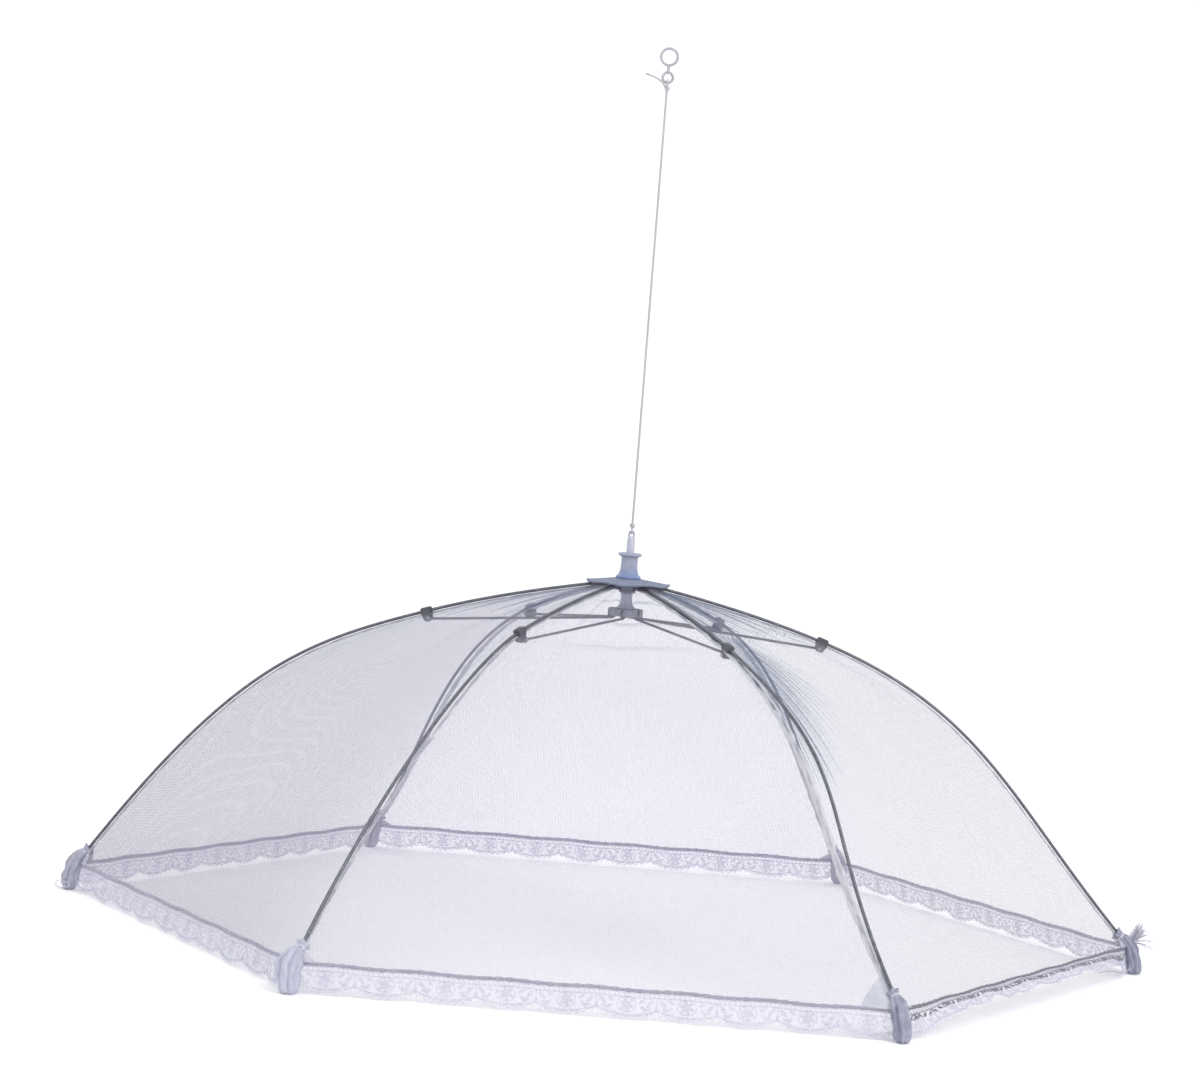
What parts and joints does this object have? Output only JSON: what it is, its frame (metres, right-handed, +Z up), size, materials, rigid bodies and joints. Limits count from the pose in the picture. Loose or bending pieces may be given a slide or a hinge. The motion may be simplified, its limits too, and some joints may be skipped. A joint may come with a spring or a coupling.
{
  "type": "mesh food cover umbrella",
  "caption": "Pull-cord folding food cover: a net dome with a lace border on hinged spring-wire ribs, with struts, a sliding runner and a finger ring.",
  "frame": {"origin": "on the table plane under the crown, at the centre of the corner pockets' feet", "axes": "+Z up along the spindle and the cord, +X towards the first rib's end"},
  "size_m": [0.666, 0.5772, 0.5441],
  "materials": {
    "crown_plastic": "satin moulded plastic, grey-lavender",
    "runner_plastic": "satin moulded plastic, grey",
    "clip_plastic": "dark moulded plastic",
    "wire": "dark spring-steel wire",
    "pin_metal": "plain rivet",
    "net": "fine pale lavender-white net",
    "lace": "openwork lace",
    "tape": "woven binding tape",
    "pocket_cloth": "bunched grey-lavender cloth",
    "patch_cloth": "tight cloth disc",
    "cord": "thin braided cord",
    "ring_plastic": "moulded grey plastic"
  },
  "bodies": {
    "crown": {"crown_collar": "crown_plastic", "rib_holder": "crown_plastic", "crown_ring_wire": "wire", "top_patch": "patch_cloth"},
    "runner": {"runner": "runner_plastic", "runner_ring_wire": "wire", "spindle": "crown_plastic", "spindle_knot": "cord", "cord": "cord", "ring_knot": "cord", "pull_ring": "ring_plastic"},
    "rib_1": {"rib_1": "wire", "joint_clip_1": "clip_plastic", "clip_pin_1": "pin_metal", "corner_pocket_1": "pocket_cloth", "seam_tape_1": "tape"},
    "strut_1": {"strut_1": "wire"},
    "panel_1": {"net_panel_1": "net", "lace_edge_1": "lace"},
    "rib_2": {"rib_2": "wire", "joint_clip_2": "clip_plastic", "clip_pin_2": "pin_metal", "corner_pocket_2": "pocket_cloth", "seam_tape_2": "tape"},
    "strut_2": {"strut_2": "wire"},
    "panel_2": {"net_panel_2": "net", "lace_edge_2": "lace"},
    "rib_3": {"rib_3": "wire", "joint_clip_3": "clip_plastic", "clip_pin_3": "pin_metal", "corner_pocket_3": "pocket_cloth", "seam_tape_3": "tape"},
    "strut_3": {"strut_3": "wire"},
    "panel_3": {"net_panel_3": "net", "lace_edge_3": "lace"},
    "rib_4": {"rib_4": "wire", "joint_clip_4": "clip_plastic", "clip_pin_4": "pin_metal", "corner_pocket_4": "pocket_cloth", "seam_tape_4": "tape"},
    "strut_4": {"strut_4": "wire"},
    "panel_4": {"net_panel_4": "net", "lace_edge_4": "lace"},
    "rib_5": {"rib_5": "wire", "joint_clip_5": "clip_plastic", "clip_pin_5": "pin_metal", "corner_pocket_5": "pocket_cloth", "seam_tape_5": "tape"},
    "strut_5": {"strut_5": "wire"},
    "panel_5": {"net_panel_5": "net", "lace_edge_5": "lace"},
    "rib_6": {"rib_6": "wire", "joint_clip_6": "clip_plastic", "clip_pin_6": "pin_metal", "corner_pocket_6": "pocket_cloth", "seam_tape_6": "tape"},
    "strut_6": {"strut_6": "wire"},
    "panel_6": {"net_panel_6": "net", "lace_edge_6": "lace"}
  },
  "joints": [
    {"name": "runner_slide", "type": "slide", "parent": "crown", "child": "runner", "axis": [0, 0, -1], "range_m": [0, 0.19195]},
    {"name": "rib_fold_1", "type": "hinge", "parent": "crown", "child": "rib_1", "pos_m": [0.008, 0, 0.2143], "axis": [0, 1, 0], "range_deg": [0, 52]},
    {"name": "strut_swing_1", "type": "hinge", "parent": "rib_1", "child": "strut_1", "pos_m": [0.12054, 0, 0.18448], "axis": [0, -1, 0], "range_deg": [0, 124.11]},
    {"name": "panel_fold_1", "type": "hinge", "parent": "crown", "child": "panel_1", "pos_m": [0.00693, 0.004, 0.2143], "axis": [-0.5, 0.866, 0], "range_deg": [0, 52], "deforming": ["net_panel_1", "lace_edge_1"]},
    {"name": "rib_fold_2", "type": "hinge", "parent": "crown", "child": "rib_2", "pos_m": [0.004, 0.00693, 0.2143], "axis": [-0.866, 0.5, 0], "range_deg": [0, 52]},
    {"name": "strut_swing_2", "type": "hinge", "parent": "rib_2", "child": "strut_2", "pos_m": [0.06027, 0.10439, 0.18448], "axis": [0.866, -0.5, 0], "range_deg": [0, 124.11]},
    {"name": "panel_fold_2", "type": "hinge", "parent": "crown", "child": "panel_2", "pos_m": [0, 0.008, 0.2143], "axis": [-1, 0, 0], "range_deg": [0, 52], "deforming": ["net_panel_2", "lace_edge_2"]},
    {"name": "rib_fold_3", "type": "hinge", "parent": "crown", "child": "rib_3", "pos_m": [-0.004, 0.00693, 0.2143], "axis": [-0.866, -0.5, 0], "range_deg": [0, 52]},
    {"name": "strut_swing_3", "type": "hinge", "parent": "rib_3", "child": "strut_3", "pos_m": [-0.06027, 0.10439, 0.18448], "axis": [0.866, 0.5, 0], "range_deg": [0, 124.11]},
    {"name": "panel_fold_3", "type": "hinge", "parent": "crown", "child": "panel_3", "pos_m": [-0.00693, 0.004, 0.2143], "axis": [-0.5, -0.866, 0], "range_deg": [0, 52], "deforming": ["net_panel_3", "lace_edge_3"]},
    {"name": "rib_fold_4", "type": "hinge", "parent": "crown", "child": "rib_4", "pos_m": [-0.008, 0, 0.2143], "axis": [0, -1, 0], "range_deg": [0, 52]},
    {"name": "strut_swing_4", "type": "hinge", "parent": "rib_4", "child": "strut_4", "pos_m": [-0.12054, 0, 0.18448], "axis": [0, 1, 0], "range_deg": [0, 124.11]},
    {"name": "panel_fold_4", "type": "hinge", "parent": "crown", "child": "panel_4", "pos_m": [-0.00693, -0.004, 0.2143], "axis": [0.5, -0.866, 0], "range_deg": [0, 52], "deforming": ["net_panel_4", "lace_edge_4"]},
    {"name": "rib_fold_5", "type": "hinge", "parent": "crown", "child": "rib_5", "pos_m": [-0.004, -0.00693, 0.2143], "axis": [0.866, -0.5, 0], "range_deg": [0, 52]},
    {"name": "strut_swing_5", "type": "hinge", "parent": "rib_5", "child": "strut_5", "pos_m": [-0.06027, -0.10439, 0.18448], "axis": [-0.866, 0.5, 0], "range_deg": [0, 124.11]},
    {"name": "panel_fold_5", "type": "hinge", "parent": "crown", "child": "panel_5", "pos_m": [0, -0.008, 0.2143], "axis": [1, 0, 0], "range_deg": [0, 52], "deforming": ["net_panel_5", "lace_edge_5"]},
    {"name": "rib_fold_6", "type": "hinge", "parent": "crown", "child": "rib_6", "pos_m": [0.004, -0.00693, 0.2143], "axis": [0.866, 0.5, 0], "range_deg": [0, 52]},
    {"name": "strut_swing_6", "type": "hinge", "parent": "rib_6", "child": "strut_6", "pos_m": [0.06027, -0.10439, 0.18448], "axis": [-0.866, -0.5, 0], "range_deg": [0, 124.11]},
    {"name": "panel_fold_6", "type": "hinge", "parent": "crown", "child": "panel_6", "pos_m": [0.00693, -0.004, 0.2143], "axis": [0.5, 0.866, 0], "range_deg": [0, 52], "deforming": ["net_panel_6", "lace_edge_6"]}
  ],
  "couplings": [
    {"joint": "rib_fold_1", "follows": "runner_slide", "rad_per_m": 4.7282},
    {"joint": "strut_swing_1", "follows": "runner_slide", "rad_per_m": 11.285},
    {"joint": "panel_fold_1", "follows": "runner_slide", "rad_per_m": 4.7282},
    {"joint": "rib_fold_2", "follows": "runner_slide", "rad_per_m": 4.7282},
    {"joint": "strut_swing_2", "follows": "runner_slide", "rad_per_m": 11.285},
    {"joint": "panel_fold_2", "follows": "runner_slide", "rad_per_m": 4.7282},
    {"joint": "rib_fold_3", "follows": "runner_slide", "rad_per_m": 4.7282},
    {"joint": "strut_swing_3", "follows": "runner_slide", "rad_per_m": 11.285},
    {"joint": "panel_fold_3", "follows": "runner_slide", "rad_per_m": 4.7282},
    {"joint": "rib_fold_4", "follows": "runner_slide", "rad_per_m": 4.7282},
    {"joint": "strut_swing_4", "follows": "runner_slide", "rad_per_m": 11.285},
    {"joint": "panel_fold_4", "follows": "runner_slide", "rad_per_m": 4.7282},
    {"joint": "rib_fold_5", "follows": "runner_slide", "rad_per_m": 4.7282},
    {"joint": "strut_swing_5", "follows": "runner_slide", "rad_per_m": 11.285},
    {"joint": "panel_fold_5", "follows": "runner_slide", "rad_per_m": 4.7282},
    {"joint": "rib_fold_6", "follows": "runner_slide", "rad_per_m": 4.7282},
    {"joint": "strut_swing_6", "follows": "runner_slide", "rad_per_m": 11.285},
    {"joint": "panel_fold_6", "follows": "runner_slide", "rad_per_m": 4.7282}
  ]
}
